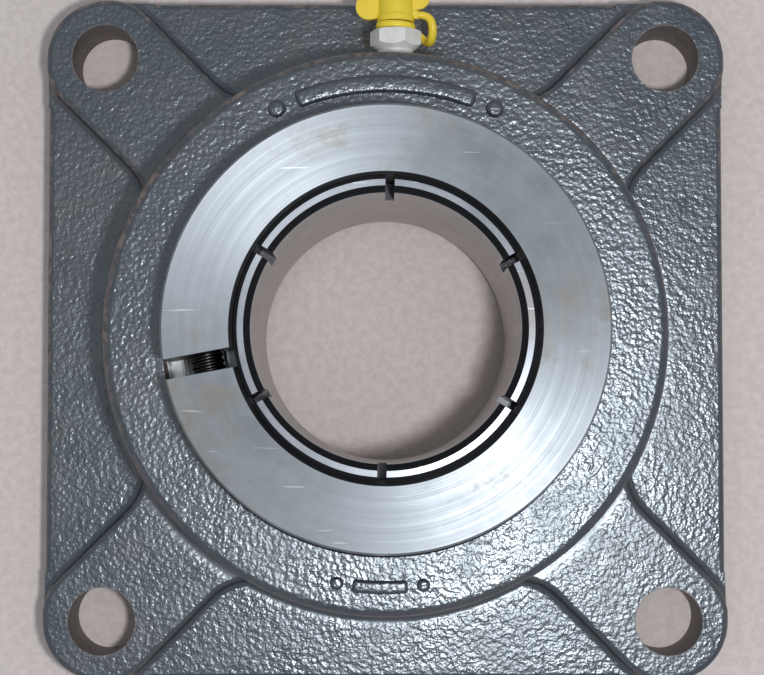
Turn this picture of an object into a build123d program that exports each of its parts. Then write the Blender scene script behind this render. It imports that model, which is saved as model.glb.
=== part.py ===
from build123d import *
from math import cos, radians, sin, sqrt
import os

# Four-bolt square flange bearing unit with a concentric clamp collar.
# Millimetres. The mounting face lies on Z = 0, +Z is the shaft axis and points out of the hub.

os.makedirs("parts", exist_ok=True)

# ---------------------------------------------------------------- driving dimensions
flange_side = 173.0
bolt_spacing = 142.9
bolt_hole_diameter = 17.0
web_height = 14.0
pad_height = 18.5
arm_half_width = 15.3
arm_hub_radius = 14.0
root_radius = 2.0
edge_radius = 1.6

hub_height = 48.0
hub_foot_radius = 68.4
hub_root_radius = 4.0
hub_crown_radius = 67.7
hub_edge_radius = 2.2
hub_mouth_radius = 52.6

bearing_height = 29.0
seat_radius = 55.0
seat_half_width = 14.5
seat_clearance = 0.04

ring_width = 24.0
shoulder_outer_radius = 49.0
shoulder_inner_radius = 38.0
ball_diameter = 15.875
ball_count = 10
pitch_radius = 43.0
ball_clearance = 0.03
race_radius = 0.52 * ball_diameter

bore_radius = 30.956
inner_ring_back = 3.6
inner_ring_front = 68.7
collar_seat_radius = 34.9
slot_width = 2.05
slot_depth = 16.0
slot_phase = 28.4

collar_back = 50.6
collar_front = 67.2
collar_outer_radius = 51.8
collar_gap = 4.6
collar_gap_angle = 190.7
screw_reach = 42.0
screw_diameter = 7.94
screw_head_seat = 9.0

pin_diameter = 4.0
align_angle = 2.0

fitting_offset = 2.5
fitting_height = 32.0
spot_face = 67.4
hex_flats = 11.11

corner_radius = (flange_side - bolt_spacing) / 2
bolt_circle_diameter = bolt_spacing * sqrt(2)
seat_plane = Plane.XY.offset(bearing_height)


def flat_edges(part, height):
    """Edges of a part that lie wholly in one level plane."""
    return part.edges().filter_by_position(Axis.Z, height - 0.001, height + 0.001)


# ---------------------------------------------------------------- housing
# Crossed arms with round ends, blended in plan into the foot of the hub.
with BuildSketch() as arms:
    for turn in (45, -45):
        SlotCenterToCenter(bolt_circle_diameter, 2 * arm_half_width, rotation=turn)
    Circle(hub_foot_radius)
    meeting = [v for v in arms.vertices() if abs(Vector(v.X, v.Y).length - hub_foot_radius) < 0.01]
    fillet(meeting, arm_hub_radius)
    RectangleRounded(flange_side, flange_side, corner_radius, mode=Mode.INTERSECT)

# Concave root of the hub on the arm tops, kept within their rounded edges.
with BuildPart() as hub_root:
    with BuildSketch(Plane.XZ):
        with BuildLine():
            Line((hub_foot_radius - 3, pad_height), (hub_foot_radius + root_radius, pad_height))
            RadiusArc(
                (hub_foot_radius + root_radius, pad_height),
                (hub_foot_radius, pad_height + root_radius),
                root_radius,
            )
            Line((hub_foot_radius, pad_height + root_radius), (hub_foot_radius - 3, pad_height + root_radius))
            Line((hub_foot_radius - 3, pad_height + root_radius), (hub_foot_radius - 3, pad_height))
        make_face()
    revolve(axis=Axis.Z)
    with BuildSketch(Plane.XY.offset(pad_height)):
        add(arms.sketch)
        offset(amount=-edge_radius)
    extrude(amount=root_radius, mode=Mode.INTERSECT)

with BuildPart() as housing:
    # square plate, then the crossed arms that carry the bolt pads
    with BuildSketch():
        RectangleRounded(flange_side, flange_side, corner_radius)
    extrude(amount=web_height)
    with BuildSketch():
        add(arms.sketch)
    extrude(amount=pad_height)
    arm_roots = flat_edges(housing, web_height).filter_by(
        lambda e: max(abs(e.center().X), abs(e.center().Y)) < flange_side / 2 - 0.001
    )
    fillet(arm_roots, root_radius)
    fillet(flat_edges(housing, pad_height), edge_radius)

    # rounded top edge of the plate between the pads
    side_length = flange_side - 2 * corner_radius - 2 * root_radius - 20
    for side in range(4):
        edge_plane = Plane(origin=(0, 0, 0), x_dir=Vector(1, 0, 0).rotate(Axis.Z, 90 * side),
                           z_dir=Vector(0, -1, 0).rotate(Axis.Z, 90 * side))
        with BuildSketch(edge_plane.offset(-side_length / 2)):
            with Locations((flange_side / 2 - edge_radius / 2, web_height - edge_radius / 2)):
                Rectangle(edge_radius, edge_radius)
            with Locations((flange_side / 2 - edge_radius, web_height - edge_radius)):
                Circle(edge_radius, mode=Mode.SUBTRACT)
        extrude(amount=side_length, mode=Mode.SUBTRACT)

    # hub: a wide concave root on the web, a wall drawn in by the draft and a rounded crown
    with BuildSketch(Plane.XZ) as hub_section:
        with BuildLine():
            Polyline(
                (hub_foot_radius, web_height + hub_root_radius),
                (hub_crown_radius, hub_height),
                (hub_mouth_radius - 8, hub_height),
                (hub_mouth_radius - 8, 0),
                (hub_foot_radius - 3, 0),
                (hub_foot_radius - 3, web_height - 1),
                (hub_foot_radius + hub_root_radius, web_height - 1),
                (hub_foot_radius + hub_root_radius, web_height),
            )
            RadiusArc(
                (hub_foot_radius + hub_root_radius, web_height),
                (hub_foot_radius, web_height + hub_root_radius),
                hub_root_radius,
            )
        make_face()
        crown = hub_section.vertices().group_by(Axis.Y)[-1].sort_by(Axis.X)[-1]
        fillet(crown, hub_edge_radius)
    revolve(axis=Axis.Z)
    add(hub_root.part)

    # spherical seat, open mouth in front and the wider cored cavity behind
    seat_back = bearing_height - seat_half_width
    seat_back_radius = sqrt(seat_radius ** 2 - seat_half_width ** 2)
    mouth_depth = bearing_height + sqrt(seat_radius ** 2 - hub_mouth_radius ** 2)
    with BuildSketch(Plane.XZ):
        with BuildLine():
            Polyline((0, mouth_depth), (0, hub_height), (hub_mouth_radius + 0.9, hub_height),
                     (hub_mouth_radius, hub_height - 0.9), (hub_mouth_radius, mouth_depth))
            RadiusArc((hub_mouth_radius, mouth_depth), (seat_back_radius, seat_back), seat_radius)
            Polyline((seat_back_radius, seat_back), (seat_radius + 0.2, 1.0), (seat_radius + 1.2, 0),
                     (0, 0), (0, mouth_depth))
        make_face()
    revolve(axis=Axis.Z, mode=Mode.SUBTRACT)

    # loading notches let the outer ring in edgeways from behind
    with BuildSketch():
        Rectangle(2 * (seat_radius + 0.2), ring_width + 0.8)
    extrude(amount=bearing_height, mode=Mode.SUBTRACT)

    # grease groove round the seat
    with BuildSketch(Plane.XZ):
        with Locations((seat_radius, fitting_height + 3.2)):
            Rectangle(2.4, 5.6)
    revolve(axis=Axis.Z, mode=Mode.SUBTRACT)

    # slot for the locking pin, as long as the insert can tilt
    pin_slot_length = 2 * (seat_radius + 3) * sin(radians(align_angle)) + pin_diameter + 0.8
    with BuildSketch(Plane.XZ.offset(seat_radius - 3)):
        with Locations((0, bearing_height)):
            SlotOverall(pin_slot_length, pin_diameter + 0.3, rotation=90)
    extrude(amount=6.6, mode=Mode.SUBTRACT)

    # grease hole: spot face, tapped hole and passage
    fitting_base = Plane(origin=(fitting_offset, spot_face, fitting_height), x_dir=(1, 0, 0), z_dir=(0, 1, 0))
    with BuildSketch(fitting_base):
        Circle(8.0)
    extrude(amount=4, mode=Mode.SUBTRACT)
    with BuildSketch(fitting_base):
        Circle(5.15)
    extrude(amount=-9, mode=Mode.SUBTRACT)
    with BuildSketch(fitting_base):
        Circle(2.0)
    extrude(amount=-15, mode=Mode.SUBTRACT)

    # bolt holes
    with GridLocations(bolt_spacing, bolt_spacing, 2, 2):
        Cylinder(bolt_hole_diameter / 2, 3 * pad_height, mode=Mode.SUBTRACT)
housing.part.label = "housing"
export_step(housing.part, "parts/housing.step")


# ---------------------------------------------------------------- outer ring and its seals
ring_back = bearing_height - ring_width / 2
outer_race_centre = pitch_radius + ball_diameter / 2 + ball_clearance - race_radius
inner_race_centre = pitch_radius - ball_diameter / 2 - ball_clearance + race_radius
seal_seat_radius = 49.9
seal_seat_depth = 2.2
lube_offset = 6.5

with BuildPart() as outer_ring:
    with BuildSketch(Plane.XZ):
        with Locations((0, bearing_height)):
            Circle(seat_radius - seat_clearance)
        with Locations(((shoulder_outer_radius + 57) / 2, bearing_height)):
            Rectangle(57 - shoulder_outer_radius, ring_width, mode=Mode.INTERSECT)
        with Locations((outer_race_centre, bearing_height)):
            Circle(race_radius, mode=Mode.SUBTRACT)
        for end in (-1, 1):
            seat_middle = bearing_height + end * (ring_width - seal_seat_depth) / 2
            with Locations(((seal_seat_radius + 48) / 2, seat_middle)):
                Rectangle(seal_seat_radius - 48, seal_seat_depth, mode=Mode.SUBTRACT)
    revolve(axis=Axis.Z)
    # two grease holes beside the ball track
    with BuildSketch(Plane.XZ.offset(-60)):
        with Locations((0, bearing_height + lube_offset)):
            Circle(1.1)
    extrude(amount=120, mode=Mode.SUBTRACT)
    # blind hole that holds the locking pin
    with BuildSketch(Plane.XZ.offset(52.2)):
        with Locations((0, bearing_height)):
            Circle(pin_diameter / 2 + 0.03)
    extrude(amount=5, mode=Mode.SUBTRACT)
outer_ring.part.label = "outer_ring"
export_step(outer_ring.part, "parts/outer_ring.step")

with BuildPart() as locking_pin:
    with BuildSketch(Plane.XZ.offset(52.2)):
        with Locations((0, bearing_height)):
            Circle(pin_diameter / 2)
    extrude(amount=5.6)
    chamfer(locking_pin.edges().group_by(Axis.Y)[0], 0.4)
locking_pin.part.label = "locking_pin"
export_step(locking_pin.part, "parts/locking_pin.step")

# The seals are drawn at the front and turned over about the bearing's middle for the back.
for side, end in (("front", 1), ("back", -1)):
    seal_floor = ring_width / 2 - seal_seat_depth

    with BuildPart() as seal_shell:
        with BuildSketch(Plane.XZ):
            with BuildLine():
                Polyline(
                    (41.3, bearing_height + end * seal_floor),
                    (seal_seat_radius, bearing_height + end * seal_floor),
                    (seal_seat_radius, bearing_height + end * (seal_floor + 2.1)),
                    (seal_seat_radius - 0.8, bearing_height + end * (seal_floor + 2.1)),
                    (seal_seat_radius - 0.8, bearing_height + end * (seal_floor + 0.8)),
                    (41.3, bearing_height + end * (seal_floor + 0.8)),
                    close=True,
                )
            make_face()
        revolve(axis=Axis.Z)
    seal_shell.part.label = f"seal_shell_{side}"
    export_step(seal_shell.part, f"parts/seal_shell_{side}.step")

    with BuildPart() as seal_lip:
        with BuildSketch(Plane.XZ):
            with BuildLine():
                Polyline(
                    (41.3, bearing_height + end * seal_floor),
                    (41.3, bearing_height + end * (seal_floor + 0.8)),
                    (39.3, bearing_height + end * (seal_floor + 1.0)),
                    (shoulder_inner_radius + 0.05, bearing_height + end * (seal_floor + 1.6)),
                    (shoulder_inner_radius + 0.05, bearing_height + end * (seal_floor + 1.2)),
                    (39.4, bearing_height + end * seal_floor),
                    close=True,
                )
            make_face()
        revolve(axis=Axis.Z)
    seal_lip.part.label = f"seal_lip_{side}"
    export_step(seal_lip.part, f"parts/seal_lip_{side}.step")

    with BuildPart() as flinger:
        with BuildSketch(Plane.XZ):
            with BuildLine():
                Polyline(
                    (shoulder_inner_radius, bearing_height + end * (seal_floor + 2.2)),
                    (48.4, bearing_height + end * (seal_floor + 2.2)),
                    (48.4, bearing_height + end * (seal_floor + 3.0)),
                    (shoulder_inner_radius + 0.8, bearing_height + end * (seal_floor + 3.0)),
                    (shoulder_inner_radius + 0.8, bearing_height + end * (seal_floor + 4.6)),
                    (shoulder_inner_radius, bearing_height + end * (seal_floor + 4.6)),
                    close=True,
                )
            make_face()
        revolve(axis=Axis.Z)
    flinger.part.label = f"flinger_{side}"
    export_step(flinger.part, f"parts/flinger_{side}.step")


# ---------------------------------------------------------------- inner ring
with BuildPart() as inner_ring:
    with BuildSketch(Plane.XZ):
        with BuildLine():
            Polyline(
                (bore_radius + 1.6, inner_ring_back),
                (shoulder_inner_radius - 0.9, inner_ring_back),
                (shoulder_inner_radius, inner_ring_back + 0.9),
                (shoulder_inner_radius, collar_back),
                (collar_seat_radius, collar_back),
                (collar_seat_radius, inner_ring_front - 0.9),
                (collar_seat_radius - 0.9, inner_ring_front),
                (bore_radius + 1.6, inner_ring_front),
                (bore_radius, inner_ring_front - 1.6),
                (bore_radius, inner_ring_back + 1.6),
                close=True,
            )
        make_face()
        with Locations((inner_race_centre, bearing_height)):
            Circle(race_radius, mode=Mode.SUBTRACT)
    revolve(axis=Axis.Z)
    # the slots split the collar seat into six spring fingers
    with BuildSketch(Plane.XY.offset(inner_ring_front - slot_depth)):
        with PolarLocations((bore_radius + collar_seat_radius) / 2, 6, start_angle=slot_phase):
            Rectangle(8, slot_width)
    extrude(amount=slot_depth + 1, mode=Mode.SUBTRACT)
inner_ring.part.label = "inner_ring"
export_step(inner_ring.part, "parts/inner_ring.step")


# ---------------------------------------------------------------- balls and cage
ball_step = 360 / ball_count
first_ball = ball_step / 2

for number in range(ball_count):
    with BuildPart() as ball:
        with PolarLocations(pitch_radius, 1, start_angle=first_ball + number * ball_step):
            with Locations((0, 0, bearing_height)):
                Sphere(ball_diameter / 2)
    ball.part.label = f"ball_{number + 1:02d}"
    export_step(ball.part, f"parts/ball_{number + 1:02d}.step")

cage_thickness = 0.9
cage_inner_radius = 39.6
cage_outer_radius = 46.4
pocket_radius = ball_diameter / 2 + 0.18
rivet_radius = 0.9

for side, end in (("front", 1), ("back", -1)):
    with BuildPart() as cage:
        # flat webs between the pockets, then the domed pockets, trimmed to the band
        with BuildSketch(seat_plane):
            Circle(cage_outer_radius)
            Circle(cage_inner_radius, mode=Mode.SUBTRACT)
        extrude(amount=end * cage_thickness)
        with PolarLocations(pitch_radius, ball_count, start_angle=first_ball):
            with Locations((0, 0, bearing_height)):
                Sphere(pocket_radius + cage_thickness)
        with BuildSketch(seat_plane):
            Circle(cage_outer_radius)
            Circle(cage_inner_radius, mode=Mode.SUBTRACT)
        extrude(amount=end * ball_diameter, mode=Mode.INTERSECT)
        with PolarLocations(pitch_radius, ball_count, start_angle=first_ball):
            with Locations((0, 0, bearing_height)):
                Sphere(pocket_radius, mode=Mode.SUBTRACT)
        with PolarLocations(pitch_radius, ball_count, start_angle=first_ball + ball_step / 2):
            with Locations((0, 0, bearing_height)):
                Cylinder(rivet_radius, 4 * cage_thickness, mode=Mode.SUBTRACT)
    cage.part.label = f"cage_{side}"
    export_step(cage.part, f"parts/cage_{side}.step")

with BuildPart() as cage_rivets:
    with PolarLocations(pitch_radius, ball_count, start_angle=first_ball + ball_step / 2):
        with Locations((0, 0, bearing_height)):
            Cylinder(rivet_radius, 2 * cage_thickness)
        for end in (-1, 1):
            with Locations((0, 0, bearing_height + end * (cage_thickness + 0.3))):
                Cylinder(1.7, 0.6)
cage_rivets.part.label = "cage_rivets"
export_step(cage_rivets.part, "parts/cage_rivets.step")


# ---------------------------------------------------------------- clamp collar and its screw
collar_middle = (collar_back + collar_front) / 2
gap_x = cos(radians(collar_gap_angle))
gap_y = sin(radians(collar_gap_angle))
# the screw crosses the gap square to it; its head lies on the side that +Z of this plane points to
screw_plane = Plane(
    origin=(screw_reach * gap_x, screw_reach * gap_y, collar_middle),
    x_dir=(gap_x, gap_y, 0),
    z_dir=(gap_y, -gap_x, 0),
)
screw_head_radius = 5.95
screw_head_height = 7.9
screw_hole_depth = 18.0
screw_reach_past_gap = 15.5

with BuildPart() as locking_collar:
    with BuildSketch(Plane.XZ) as collar_section:
        with Locations(((collar_seat_radius + 0.04 + collar_outer_radius) / 2, collar_middle)):
            Rectangle(collar_outer_radius - collar_seat_radius - 0.04, collar_front - collar_back)
        chamfer(collar_section.vertices().group_by(Axis.X)[-1], 0.5)
        chamfer(collar_section.vertices().group_by(Axis.X)[0], 1.1)
    revolve(axis=Axis.Z)
    with BuildSketch(Plane.XY.offset(collar_back)):
        with PolarLocations(screw_reach, 1, start_angle=collar_gap_angle):
            Rectangle(24, collar_gap)
    extrude(amount=collar_front - collar_back, mode=Mode.SUBTRACT)
    with BuildSketch(screw_plane):
        Circle(screw_diameter / 2 + 0.2)
    extrude(amount=screw_head_seat, mode=Mode.SUBTRACT)
    with BuildSketch(screw_plane.offset(screw_head_seat)):
        Circle(screw_head_radius + 0.4)
    extrude(amount=40, mode=Mode.SUBTRACT)
    with BuildSketch(screw_plane):
        Circle(screw_diameter / 2 + 0.04)
    extrude(amount=-screw_hole_depth, mode=Mode.SUBTRACT)
locking_collar.part.label = "locking_collar"
export_step(locking_collar.part, "parts/locking_collar.step")

with BuildPart() as clamp_screw:
    with BuildSketch(screw_plane.offset(-screw_reach_past_gap)):
        Circle(screw_diameter / 2)
    extrude(amount=screw_reach_past_gap + screw_head_seat)
    with BuildSketch(screw_plane.offset(screw_head_seat)):
        Circle(screw_head_radius)
    extrude(amount=screw_head_height)
    # hexagon socket
    with BuildSketch(screw_plane.offset(screw_head_seat + screw_head_height)):
        RegularPolygon(6.35 / sqrt(3), 6)
    extrude(amount=-4.2, mode=Mode.SUBTRACT)
clamp_screw.part.label = "clamp_screw"
export_step(clamp_screw.part, "parts/clamp_screw.step")


# ---------------------------------------------------------------- grease fitting
# Heights along the fitting are measured outwards from the spot face.
thread_start = -5.7
hex_start = 3.3
hex_end = 8.2
hex_corner = 6.45
neck_radius = 2.6
nose_end = 17.5
chamber_start = 7.3
chamber_end = 16.7
chamber_radius = 1.4
check_radius = 1.2
orifice_radius = 0.8
check_centre = chamber_end - sqrt(check_radius ** 2 - orifice_radius ** 2) - 0.02
fitting_axis = Axis((fitting_offset, spot_face, fitting_height), (0, 1, 0))
# profile plane: local X is the radius, local Y runs out along the fitting
fitting_profile = Plane(origin=(fitting_offset, spot_face, fitting_height), x_dir=(1, 0, 0), z_dir=(0, 0, 1))

with BuildPart() as grease_fitting_body:
    # hexagon with a wide turned chamfer towards the hub and a small one outwards
    with BuildSketch(fitting_base.offset(hex_start)):
        RegularPolygon(hex_flats / sqrt(3), 6, rotation=-9)
    extrude(amount=hex_end - hex_start)
    with BuildSketch(fitting_profile):
        with BuildLine():
            Polyline((0, hex_start), (4.5, hex_start), (hex_corner, hex_start + 1.6),
                     (hex_corner, hex_end - 0.3), (hex_corner - 0.7, hex_end), (0, hex_end), close=True)
        make_face()
    revolve(axis=fitting_axis, mode=Mode.INTERSECT)
    # threaded stub, neck and ball-shaped head
    with BuildSketch(fitting_profile):
        with BuildLine():
            Polyline((0, thread_start), (4.6, thread_start), (5.1, thread_start + 0.6), (5.1, 1.6),
                     (4.4, 2.2), (4.4, hex_start + 0.2), (neck_radius, hex_start + 0.2),
                     (neck_radius, 12.7), (3.3, 13.9), (3.3, 14.9), (1.7, nose_end), (0, nose_end), close=True)
        make_face()
    revolve(axis=fitting_axis)
    # grease way, spring chamber and orifice
    with BuildSketch(fitting_profile):
        with BuildLine():
            Polyline((0, thread_start), (0.9, thread_start), (0.9, chamber_start),
                     (chamber_radius, chamber_start), (chamber_radius, chamber_end),
                     (orifice_radius, chamber_end), (orifice_radius, nose_end), (0, nose_end), close=True)
        make_face()
    revolve(axis=fitting_axis, mode=Mode.SUBTRACT)
grease_fitting_body.part.label = "grease_fitting_body"
export_step(grease_fitting_body.part, "parts/grease_fitting_body.step")

with BuildPart() as grease_check_ball:
    with Locations((fitting_offset, spot_face + check_centre, fitting_height)):
        Sphere(check_radius)
grease_check_ball.part.label = "grease_check_ball"
export_step(grease_check_ball.part, "parts/grease_check_ball.step")

spring_wire = 0.3
spring_radius = 1.0
spring_start = chamber_start + spring_wire / 2
spring_end = check_centre - check_radius - spring_wire / 2 + 0.3
spring_turns = 5
spring_length = spring_end - spring_start
with BuildPart() as grease_spring:
    with BuildLine() as coil:
        Helix(
            pitch=spring_length / spring_turns,
            height=spring_length,
            radius=spring_radius,
            center=(fitting_offset, spot_face + spring_start, fitting_height),
            direction=(0, 1, 0),
        )
    with BuildSketch(coil.line ^ 0):
        Circle(spring_wire / 2)
    sweep(path=coil.line, is_frenet=True)
grease_spring.part.label = "grease_spring"
export_step(grease_spring.part, "parts/grease_spring.step")


# ---------------------------------------------------------------- dust cap, ring and strap
ring_middle = 9.3
ring_thickness = 1.6
ring_tilt = 3
cap_start = 10.4
cap_end = 21.3
cap_foot_radius = 4.6
cap_top_radius = 4.25
grip_radius = 3.2
grip_thickness = 1.6

with BuildPart() as cap_tether_ring:
    # lies a little askew round the neck, its right side nearer the hexagon
    ring_plane = fitting_base.offset(ring_middle).rotated((0, 0, -ring_tilt))
    with BuildSketch(ring_plane.offset(-ring_thickness / 2)):
        Circle(4.9)
        Circle(neck_radius + 0.1, mode=Mode.SUBTRACT)
    extrude(amount=ring_thickness)
    fillet(cap_tether_ring.edges().filter_by(GeomType.CIRCLE).sort_by(SortBy.LENGTH)[-2:], 0.5)
cap_tether_ring.part.label = "cap_tether_ring"
export_step(cap_tether_ring.part, "parts/cap_tether_ring.step")

with BuildPart() as dust_cap:
    with BuildSketch(fitting_profile) as cap_section:
        with BuildLine():
            Polyline((0, cap_start), (cap_foot_radius, cap_start), (cap_foot_radius, cap_start + 1.4),
                     (cap_foot_radius - 0.3, cap_start + 1.8), (cap_top_radius, cap_end), (0, cap_end),
                     close=True)
        make_face()
        top_corner = cap_section.vertices().group_by(Axis.Y)[-1].sort_by(Axis.X)[-1]
        fillet(top_corner, 1.2)
    revolve(axis=fitting_axis)
    # flat grip across the cap, low on the left and high on the right, and the lug for the strap
    with BuildSketch(fitting_profile.offset(-grip_thickness / 2)):
        with Locations((-6.7, 14.2), (5.4, 16.8)):
            Circle(grip_radius)
        make_hull()
        with Locations((4.6, 12.3)):
            Rectangle(2.0, 2.0)
    extrude(amount=grip_thickness)
    # cavity that snaps over the head of the fitting
    with BuildSketch(fitting_profile):
        with Locations(((neck_radius + 0.78) / 2, (cap_start + nose_end + 0.6) / 2)):
            Rectangle(neck_radius + 0.78, nose_end + 0.6 - cap_start)
    revolve(axis=fitting_axis, mode=Mode.SUBTRACT)
dust_cap.part.label = "dust_cap"
export_step(dust_cap.part, "parts/dust_cap.step")

strap_radius = 0.95
with BuildPart() as cap_strap:
    # leaves the ring behind the hexagon, curls round its side and runs up to the lug of the cap
    with BuildLine(fitting_profile) as strap_route:
        FilletPolyline(
            (3.1, 9.3, -3.95),
            (5.1, 9.2, -6.5),
            (8.0, 6.2, -5.4),
            (8.9, 6.0, -1.8),
            (9.4, 9.2, 0),
            (8.2, 12.3, 0),
            (5.6, 12.3, 0),
            radius=[1.5, 2.2, 2.4, 2.4, 1.9],
        )
    with BuildSketch(strap_route.line ^ 0):
        Circle(strap_radius)
    sweep(path=strap_route.line)
cap_strap.part.label = "cap_strap"
export_step(cap_strap.part, "parts/cap_strap.step")
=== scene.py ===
from math import cos, pi, radians, sin

import bmesh
import bpy
from mathutils import Matrix, Vector


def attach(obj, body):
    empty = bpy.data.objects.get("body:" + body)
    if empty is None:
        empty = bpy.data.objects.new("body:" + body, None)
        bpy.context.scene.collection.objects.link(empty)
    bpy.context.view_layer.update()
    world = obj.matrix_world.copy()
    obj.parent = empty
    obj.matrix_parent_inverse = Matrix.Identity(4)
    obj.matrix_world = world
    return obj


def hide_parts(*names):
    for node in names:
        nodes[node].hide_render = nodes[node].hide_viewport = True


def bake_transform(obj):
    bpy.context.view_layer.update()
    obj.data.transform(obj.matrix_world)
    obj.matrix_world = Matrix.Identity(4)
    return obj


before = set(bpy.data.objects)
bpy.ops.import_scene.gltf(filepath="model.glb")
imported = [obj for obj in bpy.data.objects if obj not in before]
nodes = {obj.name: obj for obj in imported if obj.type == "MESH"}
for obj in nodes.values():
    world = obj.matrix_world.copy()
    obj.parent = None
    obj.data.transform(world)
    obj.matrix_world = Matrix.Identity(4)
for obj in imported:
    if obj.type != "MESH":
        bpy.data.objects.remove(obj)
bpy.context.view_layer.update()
mm = 0.001


# Housing: the square four-bolt flange with its hub, one grey-iron sand casting. It is dipped in
# dark slate gloss paint, which has worn to brown on the high edges and run thin in the bolt holes.
# The seat, the mouth of the hub and the mounting face are machined bare after painting.
def put(tree, kind, inputs=(), **settings):
    """Adds a shader node. An input given as a socket is linked, any other value is set on it."""
    made = tree.nodes.new("ShaderNode" + kind)
    for key, value in settings.items():
        setattr(made, key, value)
    for key, value in dict(inputs).items():
        if isinstance(value, bpy.types.NodeSocket):
            tree.links.new(value, made.inputs[key])
        else:
            made.inputs[key].default_value = value
    return made


def calc(tree, operation, a, b=0.0, clamp=False):
    """One sum on two numbers or sockets."""
    made = put(tree, "Math", {0: a, 1: b}, operation=operation, use_clamp=clamp)
    return made.outputs[0]


def ramp(tree, value, low, high, start=0.0, end=1.0):
    """Runs smoothly from start to end while value goes from low to high."""
    made = put(
        tree, "MapRange",
        {"Value": value, "From Min": low, "From Max": high, "To Min": start, "To Max": end},
        interpolation_type="SMOOTHSTEP",
    )
    return made.outputs["Result"]


def grain(tree, place, scale, detail=2.0, roughness=0.5):
    """Cloudy noise, scale being grains to the metre."""
    made = put(tree, "TexNoise", {"Vector": place, "Scale": scale, "Detail": detail, "Roughness": roughness})
    return made.outputs[0]


def mix(tree, share, first, second):
    """Goes from the first colour to the second as share goes from 0 to 1."""
    made = put(tree, "Mix", {0: share, 6: first, 7: second}, data_type="RGBA")
    return made.outputs[2]


def finish_of(name):
    """A new material with its node tree, its shader and the object's own coordinates."""
    made = bpy.data.materials.new(name)
    made.use_nodes = True
    tree = made.node_tree
    shader = tree.nodes["Principled BSDF"]
    place = put(tree, "TexCoord").outputs["Object"]
    return made, tree, shader, place


def coat(node, made):
    """Gives a CAD node its finish."""
    mesh = nodes[node].data
    mesh.materials.clear()
    mesh.materials.append(made)


def cylinder(tree, place):
    """The object's x, y and z, and the distance from the shaft's axis."""
    axes = put(tree, "SeparateXYZ", {0: place}).outputs
    flat = put(tree, "CombineXYZ", {0: axes[0], 1: axes[1], 2: 0.0}).outputs[0]
    radius = put(tree, "VectorMath", {0: flat}, operation="LENGTH").outputs["Value"]
    return axes[0], axes[1], axes[2], radius


def product(tree, *values):
    """All the values multiplied together."""
    total = values[0]
    for value in values[1:]:
        total = calc(tree, "MULTIPLY", total, value)
    return total


bolt_reach = 71.45 * mm
bolt_hole_radius = 8.5 * mm
flange_reach = 86.5 * mm
web_top = 14.0 * mm
pad_top = 18.5 * mm
hub_top = 48.0 * mm
hub_mouth_radius = 52.6 * mm
hub_crown_radius = 67.7 * mm
hub_root_radius = 72.4 * mm


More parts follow.
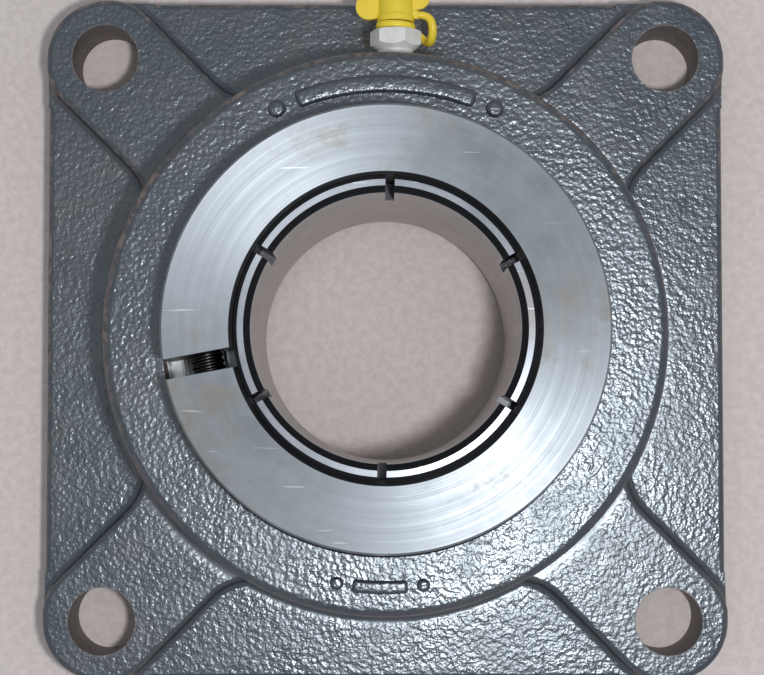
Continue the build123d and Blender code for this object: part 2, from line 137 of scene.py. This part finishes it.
def casting_paint():
    made, tree, shader, place = finish_of("casting_paint")
    link = tree.links.new
    x, y, z, radius = cylinder(tree, place)
    facing = put(tree, "SeparateXYZ", {0: put(tree, "TexCoord").outputs["Normal"]}).outputs[2]

    # distance from the nearest bolt hole's axis
    from_x = calc(tree, "SUBTRACT", calc(tree, "ABSOLUTE", x), bolt_reach)
    from_y = calc(tree, "SUBTRACT", calc(tree, "ABSOLUTE", y), bolt_reach)
    from_axis = put(tree, "CombineXYZ", {0: from_x, 1: from_y, 2: 0.0}).outputs[0]
    from_hole = put(tree, "VectorMath", {0: from_axis}, operation="LENGTH").outputs["Value"]
    in_hole = ramp(tree, from_hole, bolt_hole_radius - 0.1 * mm, bolt_hole_radius + 0.4 * mm, 1.0, 0.0)

    # the sand's grain under the paint: leathery lumps, larger swells and a fine skin
    lumps = grain(tree, place, 900, 1.5, 0.45)
    swells = grain(tree, place, 260, 2.0, 0.5)
    skin = grain(tree, place, 2600, 2.0, 0.5)
    relief = calc(tree, "ADD", lumps, calc(tree, "ADD", calc(tree, "MULTIPLY", swells, 0.6),
                                           calc(tree, "MULTIPLY", skin, 0.10)))

    # the seat and the mounting face were cut bare, and the paint pooled smooth in the hub's root
    within = ramp(tree, radius, hub_mouth_radius + 0.2 * mm, hub_mouth_radius + 0.4 * mm, 1.0, 0.0)
    in_seat = product(tree, within, ramp(tree, z, hub_top - 1.4 * mm, hub_top - 0.6 * mm, 1.0, 0.0))
    machined = calc(tree, "MAXIMUM", in_seat, ramp(tree, z, 0.05 * mm, 0.15 * mm, 1.0, 0.0))
    track = put(tree, "CombineXYZ", {0: radius, 1: 0.0, 2: 0.0}).outputs[0]
    tool_marks = grain(tree, track, 1900, 2.0, 0.6)
    root = product(tree, ramp(tree, radius, hub_crown_radius - 0.3 * mm, hub_crown_radius + 0.3 * mm),
                   ramp(tree, radius, hub_root_radius - 0.9 * mm, hub_root_radius + 1.1 * mm, 1.0, 0.0),
                   ramp(tree, z, web_top - 1.0 * mm, web_top),
                   ramp(tree, z, hub_top - 8.0 * mm, hub_top - 4.0 * mm, 1.0, 0.0))
    smooth = calc(tree, "MAXIMUM", machined, product(tree, root, 0.85))
    relief = calc(tree, "ADD", product(tree, relief, calc(tree, "SUBTRACT", 1.0, smooth)),
                  product(tree, tool_marks, machined, 0.12))
    bump = put(tree, "Bump", {"Height": relief, "Strength": 1.0, "Distance": 0.00022})

    # paint colour: slate, a little uneven, browner where it is thin
    patch = ramp(tree, grain(tree, place, 22, 4.0, 0.6), 0.35, 0.7)
    slate = mix(tree, patch, (0.034, 0.040, 0.048, 1), (0.052, 0.053, 0.055, 1))
    thin = ramp(tree, grain(tree, place, 75, 5.0, 0.7), 0.52, 0.70)
    slate = mix(tree, product(tree, thin, 0.35), slate, (0.085, 0.060, 0.044, 1))

    # rubbed roundings on the hub's crown, round its mouth, on the pads and along the flange's rim
    tilt = product(tree, ramp(tree, facing, 0.20, 0.50), ramp(tree, facing, 0.86, 0.985, 1.0, 0.0))
    crown = product(tree, ramp(tree, z, hub_top - 5.0 * mm, hub_top - 2.0 * mm),
                    ramp(tree, radius, hub_crown_radius - 4.2 * mm, hub_crown_radius - 2.2 * mm))
    pad_rim = product(tree, ramp(tree, z, pad_top - 2.3 * mm, pad_top - 1.3 * mm),
                      ramp(tree, z, pad_top + 0.5 * mm, pad_top + 2.0 * mm, 1.0, 0.0))
    far = calc(tree, "MAXIMUM", calc(tree, "ABSOLUTE", x), calc(tree, "ABSOLUTE", y))
    flange_rim = product(tree, ramp(tree, z, web_top - 2.0 * mm, web_top - 1.0 * mm),
                         ramp(tree, far, flange_reach - 2.5 * mm, flange_reach - 1.0 * mm))
    edges = calc(tree, "MAXIMUM", crown, calc(tree, "MAXIMUM", pad_rim, flange_rim))
    round_mouth = ramp(tree, radius, hub_mouth_radius + 0.6 * mm, hub_mouth_radius + 1.4 * mm, 1.0, 0.0)
    mouth = product(tree, round_mouth, ramp(tree, z, hub_top - 1.8 * mm, hub_top - 1.0 * mm))
    upper = ramp(tree, calc(tree, "SUBTRACT", y, product(tree, x, 0.45)), -45 * mm, 45 * mm, 0.12, 1.0)
    broken = ramp(tree, grain(tree, place, 160, 4.0, 0.7), 0.40, 0.60)
    rubbed = product(tree, calc(tree, "MAXIMUM", product(tree, tilt, edges), mouth), broken, upper)
    rubs = mix(tree, ramp(tree, grain(tree, place, 420, 3.0, 0.6), 0.4, 0.6),
               (0.060, 0.034, 0.024, 1), (0.21, 0.145, 0.115, 1))
    colour = mix(tree, product(tree, rubbed, 0.85), slate, rubs)
    # painted shadow: a brown-black tone in the hub's root on its upper-left side, where the hub casts its
    # shadow on the web
    painted_root_shadow = product(tree, root, upper, ramp(tree, grain(tree, place, 300, 4.0, 0.7), 0.35, 0.60))
    colour = mix(tree, product(tree, painted_root_shadow, 0.8), colour, (0.085, 0.055, 0.038, 1))
    rust = mix(tree, ramp(tree, grain(tree, place, 180, 4.0, 0.6), 0.35, 0.65),
               (0.050, 0.028, 0.022, 1), (0.15, 0.092, 0.072, 1))
    colour = mix(tree, in_hole, colour, rust)
    bare = mix(tree, tool_marks, (0.22, 0.21, 0.20, 1), (0.38, 0.37, 0.35, 1))
    colour = mix(tree, machined, colour, bare)

    rough = ramp(tree, grain(tree, place, 90, 3.0, 0.6), 0.3, 0.7, 0.25, 0.34)
    rough = calc(tree, "ADD", rough, calc(tree, "MULTIPLY", calc(tree, "MAXIMUM", in_hole, rubbed), 0.3))
    link(colour, shader.inputs["Base Color"])
    link(rough, shader.inputs["Roughness"])
    link(calc(tree, "MULTIPLY", machined, 0.9), shader.inputs["Metallic"])
    link(bump.outputs["Normal"], shader.inputs["Normal"])
    shader.inputs["IOR"].default_value = 1.6
    shader.inputs["Specular IOR Level"].default_value = 1.0
    shader.inputs["Specular Tint"].default_value = (0.90, 0.96, 1.0, 1)
    return made


housing_finish = casting_paint()
coat("housing", housing_finish)


# Cast marks: plain bars and studs that stand a little proud of the hub's face, cast in one with it
# from hollows in the pattern, and painted with it.
mark_foot = 47.7
mark_rounding = 0.60


def raised_arc(name, inner, outer, start, end, height):
    """A raised bar that follows the hub's curve, in millimetres and degrees, with its rims rounded."""
    shape = bmesh.new()
    top = mark_foot + height
    corners = [shape.verts.new((r * mm * cos(radians(start)), r * mm * sin(radians(start)), h * mm))
               for r, h in ((inner, mark_foot), (outer, mark_foot), (outer, top), (inner, top))]
    first = shape.faces.new(corners)
    steps = max(8, round((end - start) / 1.5))
    bmesh.ops.spin(shape, geom=[first] + first.edges[:] + first.verts[:], cent=(0, 0, 0), axis=(0, 0, 1),
                   angle=radians(end - start), steps=steps, use_duplicate=False)
    bmesh.ops.remove_doubles(shape, verts=shape.verts[:], dist=1e-6)
    bmesh.ops.holes_fill(shape, edges=shape.edges[:], sides=4)
    bmesh.ops.recalc_face_normals(shape, faces=shape.faces[:])
    tall = (mark_foot + height) * mm - 1e-5
    rims = [edge for edge in shape.edges if len(edge.link_faces) == 2 and edge.calc_face_angle() > 1.0
            and max(v.co.z for v in edge.verts) > tall]
    bmesh.ops.bevel(shape, geom=rims, offset=mark_rounding * height * mm, offset_type="OFFSET", segments=4,
                    profile=0.5, affect="EDGES", material=-1, clamp_overlap=True)
    return finished(shape, name)


def round_stud(shape, reach, angle, height, radius):
    """A low round stud with its rim rounded, in millimetres and degrees."""
    x, y = reach * cos(radians(angle)), reach * sin(radians(angle))
    place = Matrix.Translation((x * mm, y * mm, (mark_foot + height / 2) * mm))
    stud = bmesh.ops.create_cone(shape, cap_ends=True, segments=28, radius1=radius * mm, radius2=radius * mm,
                                 depth=height * mm, matrix=place)["verts"]
    tall = (mark_foot + height) * mm - 1e-6
    rims = {edge for v in stud for edge in v.link_edges if all(end.co.z > tall for end in edge.verts)}
    bmesh.ops.bevel(shape, geom=list(rims), offset=mark_rounding * height * mm, offset_type="OFFSET",
                    segments=4, profile=0.5, affect="EDGES", material=-1, clamp_overlap=True)


def finished(shape, name):
    """Turns a bmesh into an object of that name, smooth over its gentle edges."""
    mesh = bpy.data.meshes.new(name)
    shape.to_mesh(mesh)
    shape.free()
    made = bpy.data.objects.new(name, mesh)
    bpy.context.scene.collection.objects.link(made)
    mesh.shade_smooth()
    mesh.set_sharp_from_angle(angle=radians(38))
    return made


marks = bmesh.new()
for angle in (64, 116):
    round_stud(marks, 59.5, angle, 1.7, 2.1)
for angle in (259, 278.5):
    round_stud(marks, 60.6, angle, 1.5, 1.6)
cast_marks = [
    raised_arc("cast_bar_top", 57.4, 61.6, 69, 111, 1.7),
    raised_arc("cast_bar_bottom", 58.9, 62.1, 262.5, 275, 1.5),
    finished(marks, "cast_studs"),
]
for piece in cast_marks:
    piece.data.materials.append(housing_finish)
    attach(piece, "housing")


# Outer ring and seals: the bearing's outer ring is hardened steel, ground to a ball shape outside.
# A pressed steel shell with a rubber lip closes each side, and a steel flinger turns in front of it.
def plain_steel(name, colour, roughness, metallic=1.0):
    """A smooth finish with cloudy tone and fine marks, of steel unless metallic is lowered."""
    made, tree, shader, place = finish_of(name)
    tone = ramp(tree, grain(tree, place, 70, 3.0, 0.6), 0.3, 0.7)
    dull = tuple(0.72 * c for c in colour) + (1,)
    tree.links.new(mix(tree, tone, dull, tuple(colour) + (1,)), shader.inputs["Base Color"])
    marks = grain(tree, place, 900, 4.0, 0.6)
    tree.links.new(ramp(tree, marks, 0.3, 0.7, roughness * 0.8, roughness * 1.25), shader.inputs["Roughness"])
    bump = put(tree, "Bump", {"Height": marks, "Strength": 0.15, "Distance": 0.00005})
    tree.links.new(bump.outputs["Normal"], shader.inputs["Normal"])
    shader.inputs["Metallic"].default_value = metallic
    return made


coat("outer_ring", plain_steel("ring_steel", (0.50, 0.49, 0.48), 0.28))
shell_finish = plain_steel("seal_shell_steel", (0.36, 0.36, 0.35), 0.35)
rubber = plain_steel("seal_rubber", (0.02, 0.02, 0.02), 0.55, 0.0)
flinger_finish = plain_steel("flinger_steel", (0.13, 0.128, 0.125), 0.36)
for side in ("front", "back"):
    coat(f"seal_shell_{side}", shell_finish)
    coat(f"seal_lip_{side}", rubber)
    coat(f"flinger_{side}", flinger_finish)
coat("locking_pin", plain_steel("pin_steel", (0.45, 0.45, 0.45), 0.3))


# Balls and cage: ten polished balls run in a ribbon cage, two pressed strips riveted together.
ball_finish = plain_steel("ball_steel", (0.72, 0.72, 0.73), 0.08)
for number in range(1, 11):
    coat(f"ball_{number:02d}", ball_finish)
cage_finish = plain_steel("cage_steel", (0.40, 0.39, 0.37), 0.36)
coat("cage_front", cage_finish)
coat("cage_back", cage_finish)
coat("cage_rivets", plain_steel("rivet_steel", (0.45, 0.45, 0.45), 0.3))


# Inner ring: a long bearing-steel ring whose front end is slotted into six fingers. Its bore and
# faces are ground; its front chamfers are painted near-black, and its slots dark with painted shade.
slot_phase = radians(28.4)
slot_half_width = 1.06 * mm
slot_floor = 52.6 * mm
bore_edge = 31.0 * mm
finger_radius = 33.95 * mm
finger_end = 67.2 * mm


def turned_steel(name, colour, stain, roughness, anisotropy, dark_and_shaded):
    """Steel cut on a lathe: its tool marks run in circles, so light stretches across them in wedges."""
    made, tree, shader, place = finish_of(name)
    link = tree.links.new
    x, y, z, radius = cylinder(tree, place)
    outward = put(tree, "CombineXYZ", {0: x, 1: y, 2: 0.0}).outputs[0]
    outward = put(tree, "VectorMath", {0: outward}, operation="NORMALIZE").outputs[0]
    # tool marks: rings a fraction of a millimetre apart
    track = put(tree, "CombineXYZ", {0: radius, 1: z, 2: 0.0}).outputs[0]
    rings = grain(tree, track, 2600, 3.0, 0.7)
    wide_rings = grain(tree, track, 380, 2.0, 0.6)
    cloud = grain(tree, place, 85, 5.0, 0.65)
    tone = calc(tree, "ADD", product(tree, wide_rings, 0.25), product(tree, cloud, 0.75))
    tone = ramp(tree, tone, 0.34, 0.66)
    dull = tuple(0.80 * c for c in colour) + (1,)
    face = mix(tree, tone, dull, tuple(colour) + (1,))
    # oil stains and light scratches
    blot = ramp(tree, grain(tree, place, 38, 5.0, 0.7), 0.52, 0.68)
    face = mix(tree, product(tree, blot, 0.75), face, tuple(stain) + (1,))
    bend = put(tree, "Mapping", {"Vector": place, "Rotation": (0, 0, 0.6), "Scale": (60, 900, 60)}).outputs[0]
    line = ramp(tree, grain(tree, bend, 1.0, 2.0, 0.5), 0.70, 0.74)
    face = mix(tree, product(tree, line, 0.5), face, (0.5, 0.5, 0.5, 1))
    in_bore = ramp(tree, radius, bore_edge, bore_edge + 0.3 * mm, 1.0, 0.0)
    face = mix(tree, in_bore, face, (0.46, 0.43, 0.42, 1))
    # near-black on the chamfers, and painted shade in the slots and the collar's gap
    face = mix(tree, dark_and_shaded(tree, x, y, z, radius), face, (0.036, 0.035, 0.037, 1))
    link(face, shader.inputs["Base Color"])
    rough = ramp(tree, calc(tree, "ADD", product(tree, rings, 0.5), product(tree, cloud, 0.5)), 0.3, 0.7,
                 roughness * 0.85, roughness * 1.2)
    link(calc(tree, "ADD", rough, product(tree, blot, 0.06)), shader.inputs["Roughness"])
    bump = put(tree, "Bump", {"Height": rings, "Strength": 0.30, "Distance": 0.00003})
    link(bump.outputs["Normal"], shader.inputs["Normal"])
    link(outward, shader.inputs["Tangent"])
    link(ramp(tree, in_bore, 0.0, 1.0, 1.0, 0.45), shader.inputs["Metallic"])
    shader.inputs["Anisotropic"].default_value = anisotropy
    return made


def ring_chamfers_and_slot_shade(tree, x, y, z, radius):
    """Near-black on the inner ring's front chamfers, and painted shade in its slots, seen at the front end.
    """
    front = ramp(tree, z, slot_floor - 2.1 * mm, slot_floor - 1.6 * mm)
    outer_chamfer = ramp(tree, radius, finger_radius, finger_radius + 0.1 * mm)
    bore_chamfer = product(tree, ramp(tree, radius, bore_edge + 1.45 * mm, bore_edge + 1.6 * mm, 1.0, 0.0),
                           ramp(tree, z, finger_end - 0.05 * mm, finger_end + 0.05 * mm))
    chamfers = product(tree, front, calc(tree, "MAXIMUM", outer_chamfer, bore_chamfer))
    angle = calc(tree, "ARCTAN2", y, x)
    turned = put(tree, "Math", {0: calc(tree, "SUBTRACT", angle, slot_phase), 1: -pi / 6, 2: pi / 6},
                 operation="WRAP").outputs[0]
    across = calc(tree, "ABSOLUTE", product(tree, radius, calc(tree, "SINE", turned)))
    # painted shade: the slots' walls and floors are made near-black where they lie in shade
    painted_slot_shade = product(tree, ramp(tree, across, slot_half_width, slot_half_width + 0.06 * mm, 1.0, 0.0),
                      ramp(tree, z, slot_floor - 0.2 * mm, slot_floor))
    return calc(tree, "MAXIMUM", chamfers, painted_slot_shade)


ring_colour = (0.20, 0.208, 0.222)
ring_stain = (0.17, 0.15, 0.14)
coat("inner_ring", turned_steel("inner_ring_steel", ring_colour, ring_stain, 0.32, 0.6, ring_chamfers_and_slot_shade))


# Collar: a turned steel ring, cut through once, that a screw closes on the ring's fingers. Oil has
# stained its face; its inner chamfer is painted near-black, and the walls of its gap dark with painted shade.
gap_angle = radians(190.7)
gap_half_width = 2.32 * mm
collar_chamfer_radius = 36.0 * mm


def collar_chamfer_and_gap_shade(tree, x, y, z, radius):
    """Near-black on the collar's inner chamfer, and painted shade on the walls of its gap."""
    across = calc(tree, "SUBTRACT", product(tree, y, cos(gap_angle)), product(tree, x, sin(gap_angle)))
    across = calc(tree, "ABSOLUTE", across)
    # painted shade: the walls of the narrow gap are made near-black
    painted_gap_shade = product(tree, ramp(tree, across, gap_half_width, gap_half_width + 0.04 * mm, 1.0, 0.0),
                     ramp(tree, x, -20 * mm, -10 * mm, 1.0, 0.0))
    on_chamfer = ramp(tree, radius, collar_chamfer_radius, collar_chamfer_radius + 0.15 * mm, 1.0, 0.0)
    return calc(tree, "MAXIMUM", painted_gap_shade, on_chamfer)


collar_colour = (0.245, 0.258, 0.270)
collar_stain = (0.225, 0.20, 0.17)
coat("locking_collar", turned_steel("collar_steel", collar_colour, collar_stain, 0.41, 0.88, collar_chamfer_and_gap_shade))


# Clamp screw: a black alloy-steel cap screw that crosses the collar's gap and draws it shut on the
# ring's fingers. Its thread shows in the gap, its hexagon socket in the pocket.
thread_pitch = 1.41
thread_steps = 24
thread_turns = 15
thread_root = 3.35
thread_crest = 3.86
screw_end = -15.5
head_seat = 9.0
head_radius = 5.95
head_height = 7.9
head_chamfer = 0.45
socket_reach = 3.67
socket_depth = 4.3
screw_reach = 42.0
screw_height = 58.9


def round_bar(shape, low, high, radius):
    """A closed round bar along the screw's axis, in millimetres."""
    place = Matrix.Translation((0, 0, (low + high) / 2 * mm))
    return bmesh.ops.create_cone(shape, cap_ends=True, segments=48, radius1=radius * mm, radius2=radius * mm,
                                 depth=(high - low) * mm, matrix=place)["verts"]


# the thread is one flank profile, spun up the shank
screw = bmesh.new()
profile = [screw.verts.new((r * mm, 0, (screw_end + h) * mm))
           for r, h in ((thread_root, 0), (thread_crest, 0.60), (thread_crest, 0.78),
                        (thread_root, thread_pitch - 0.03), (thread_root, thread_pitch))]
flank = [screw.edges.new(pair) for pair in zip(profile, profile[1:])]
bmesh.ops.spin(screw, geom=profile + flank, cent=(0, 0, 0), axis=(0, 0, 1),
               dvec=(0, 0, thread_pitch * mm / thread_steps), angle=2 * pi * thread_turns,
               steps=thread_steps * thread_turns, use_duplicate=False)
bmesh.ops.remove_doubles(screw, verts=screw.verts[:], dist=2e-6)
bmesh.ops.holes_fill(screw, edges=screw.edges[:], sides=0)
round_bar(screw, screw_end, head_seat, thread_root + 0.05)
round_bar(screw, 5.6, head_seat + 0.02, thread_crest)

# the head, chamfered, with a hexagon socket sunk in its end
head_top = (head_seat + head_height) * mm
head = round_bar(screw, head_seat, head_seat + head_height, head_radius)
end_face = [face for v in head for face in v.link_faces
            if len(face.verts) == 48 and face.calc_center_median().z > head_top - 0.1 * mm][0]
bmesh.ops.inset_region(screw, faces=[end_face], thickness=0.0, depth=0.0, use_even_offset=True)
for corner in end_face.verts:
    corner.co.x *= 0.92
    corner.co.y *= 0.92
for corner in head:
    if corner.co.z > head_top - 0.1 * mm and corner not in end_face.verts[:]:
        corner.co.z = head_top - head_chamfer * mm
face_loop = end_face.edges[:]
bmesh.ops.delete(screw, geom=[end_face], context="FACES_ONLY")
hexagon = bmesh.ops.create_circle(screw, cap_ends=False, segments=6, radius=socket_reach * mm,
                                  matrix=Matrix.Translation((0, 0, head_top)))["verts"]
sides = list({edge for corner in hexagon for edge in corner.link_edges})
bmesh.ops.subdivide_edges(screw, edges=sides, cuts=7)
socket_loop = [edge for edge in screw.edges if not edge.link_faces
               and all(abs(v.co.z - head_top) < 1e-6 and v.co.to_2d().length < 4 * mm for v in edge.verts)]
bmesh.ops.bridge_loops(screw, edges=face_loop + socket_loop)
sunk = bmesh.ops.extrude_edge_only(screw, edges=socket_loop)["geom"]
bmesh.ops.translate(screw, verts=[part for part in sunk if isinstance(part, bmesh.types.BMVert)],
                    vec=(0, 0, -socket_depth * mm))
bmesh.ops.contextual_create(screw, geom=[part for part in sunk if isinstance(part, bmesh.types.BMEdge)])
bmesh.ops.recalc_face_normals(screw, faces=screw.faces[:])
axis = Vector((sin(gap_angle), -cos(gap_angle), 0))
middle = Vector((screw_reach * cos(gap_angle), screw_reach * sin(gap_angle), screw_height)) * mm
placing = Matrix.Translation(middle) @ axis.to_track_quat("Z", "Y").to_matrix().to_4x4()
bmesh.ops.transform(screw, matrix=placing, verts=screw.verts[:])
threaded_screw = finished(screw, "threaded_screw")
threaded_screw.data.materials.append(plain_steel("screw_steel", (0.075, 0.073, 0.072), 0.34))
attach(threaded_screw, "clamp_screw")
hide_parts("clamp_screw")


# Grease fitting: a zinc-plated hexagon nipple screwed into the side of the hub. A spring holds a
# steel ball against its mouth.
coat("grease_fitting_body", plain_steel("fitting_steel", (1.0, 0.965, 0.88), 0.36, 0.15))
coat("grease_check_ball", ball_finish)
coat("grease_spring", plain_steel("spring_steel", (0.5, 0.5, 0.5), 0.3))


# Dust cap: a yellow polyethylene moulding, cap, ring and strap in one. The ring sits round the
# nipple and the strap lets the cap come off without being lost.
def cap_plastic():
    made, tree, shader, place = finish_of("cap_plastic")
    tone = ramp(tree, grain(tree, place, 120, 3.0, 0.6), 0.3, 0.7)
    colour = mix(tree, tone, (0.93, 0.64, 0.035, 1), (1.0, 0.72, 0.055, 1))
    tree.links.new(colour, shader.inputs["Base Color"])
    shader.inputs["Roughness"].default_value = 0.42
    shader.inputs["Subsurface Weight"].default_value = 0.25
    shader.inputs["Subsurface Radius"].default_value = (0.003, 0.002, 0.0005)
    shader.inputs["Subsurface Scale"].default_value = 1.0
    fine = grain(tree, place, 700, 3.0, 0.6)
    bump = put(tree, "Bump", {"Height": fine, "Strength": 0.2, "Distance": 0.0001})
    tree.links.new(bump.outputs["Normal"], shader.inputs["Normal"])
    return made


yellow = cap_plastic()
for node in ("dust_cap", "cap_tether_ring"):
    coat(node, yellow)

fitting_offset = 2.5
spot_face = 67.4
fitting_height = 32.0
strap_thickness = 0.95 * mm
strap_route = [(3.1, 9.3, -3.95), (5.1, 9.2, -6.5), (8.0, 6.2, -5.4), (8.9, 6.0, -1.8), (9.4, 9.2, 0.0),
               (8.2, 12.3, 0.0), (5.6, 12.3, 0.0)]
strap_line = bpy.data.curves.new("strap_line", "CURVE")
strap_line.dimensions = "3D"
run = strap_line.splines.new("NURBS")
run.points.add(len(strap_route) - 1)
strap_widths = (1.0, 1.0, 1.1, 1.15, 1.1, 1.0, 1.0)
for point, (x, y, z), width in zip(run.points, strap_route, strap_widths):
    point.co = ((fitting_offset + x) * mm, (spot_face + y) * mm, (fitting_height + z) * mm, 1)
    point.radius = width
run.order_u = 3
run.use_endpoint_u = True
run.resolution_u = 12
strap_line.bevel_depth = strap_thickness
strap_line.bevel_resolution = 5
strap_line.use_fill_caps = True
line = bpy.data.objects.new("strap_line", strap_line)
strap_mesh = bpy.data.meshes.new_from_object(line)
bpy.data.objects.remove(line)
shape = bmesh.new()
shape.from_mesh(strap_mesh)
bmesh.ops.remove_doubles(shape, verts=shape.verts[:], dist=1e-6)
bmesh.ops.recalc_face_normals(shape, faces=shape.faces[:])
strap = finished(shape, "strap")
strap.data.materials.clear()
strap.data.materials.append(yellow)
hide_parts("cap_strap")
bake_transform(strap)


# Studio: a plain pale floor, a small soft lamp beside the camera, a wide weak one above it, and an
# even pale sky.
def floor_finish():
    made, tree, shader, place = finish_of("floor")
    tone = ramp(tree, grain(tree, place, 450, 4.0, 0.7), 0.35, 0.65)
    colour = mix(tree, tone, (0.69, 0.585, 0.53, 1), (0.79, 0.675, 0.615, 1))
    tree.links.new(colour, shader.inputs["Base Color"])
    shader.inputs["Roughness"].default_value = 0.7
    return made


floor_mesh = bpy.data.meshes.new("floor")
shape = bmesh.new()
bmesh.ops.create_grid(shape, x_segments=1, y_segments=1, size=2.0)
shape.to_mesh(floor_mesh)
shape.free()
floor = bpy.data.objects.new("floor", floor_mesh)
bpy.context.scene.collection.objects.link(floor)
floor_mesh.materials.append(floor_finish())

lamp_data = bpy.data.lights.new("lamp", "AREA")
lamp_data.shape = "DISK"
lamp_data.size = 0.04
lamp_data.energy = 1.18
lamp_data.color = (0.90, 0.95, 1.0)
lamp = bpy.data.objects.new("lamp", lamp_data)
lamp.location = (0.057, -0.049, 0.505)
lamp.rotation_euler = (Vector((0, 0, 0)) - lamp.location).to_track_quat("-Z", "Y").to_euler()
bpy.context.scene.collection.objects.link(lamp)

soft_data = bpy.data.lights.new("soft", "AREA")
soft_data.size = 0.5
soft_data.energy = 0.25
soft = bpy.data.objects.new("soft", soft_data)
soft.location = (-0.06, 0.05, 0.80)
soft.rotation_euler = (Vector((0, 0, 0)) - soft.location).to_track_quat("-Z", "Y").to_euler()
bpy.context.scene.collection.objects.link(soft)

world = bpy.data.worlds.new("sky")
world.use_nodes = True
world.node_tree.nodes["Background"].inputs["Color"].default_value = (0.80, 0.88, 1.0, 1)
world.node_tree.nodes["Background"].inputs["Strength"].default_value = 0.42
bpy.context.scene.world = world
bpy.context.scene.view_settings.view_transform = "Standard"

camera_data = bpy.data.cameras.new("camera")
camera_data.sensor_width = 36.0
camera_data.lens = 36.0 * 1929.3 / 764
camera_data.clip_start = 0.01
camera = bpy.data.objects.new("camera", camera_data)
camera.location = (-0.00157, -0.02312, 0.50684)
camera.rotation_euler = (radians(2.727), radians(-0.087), radians(0.021))
bpy.context.scene.collection.objects.link(camera)
bpy.context.scene.camera = camera
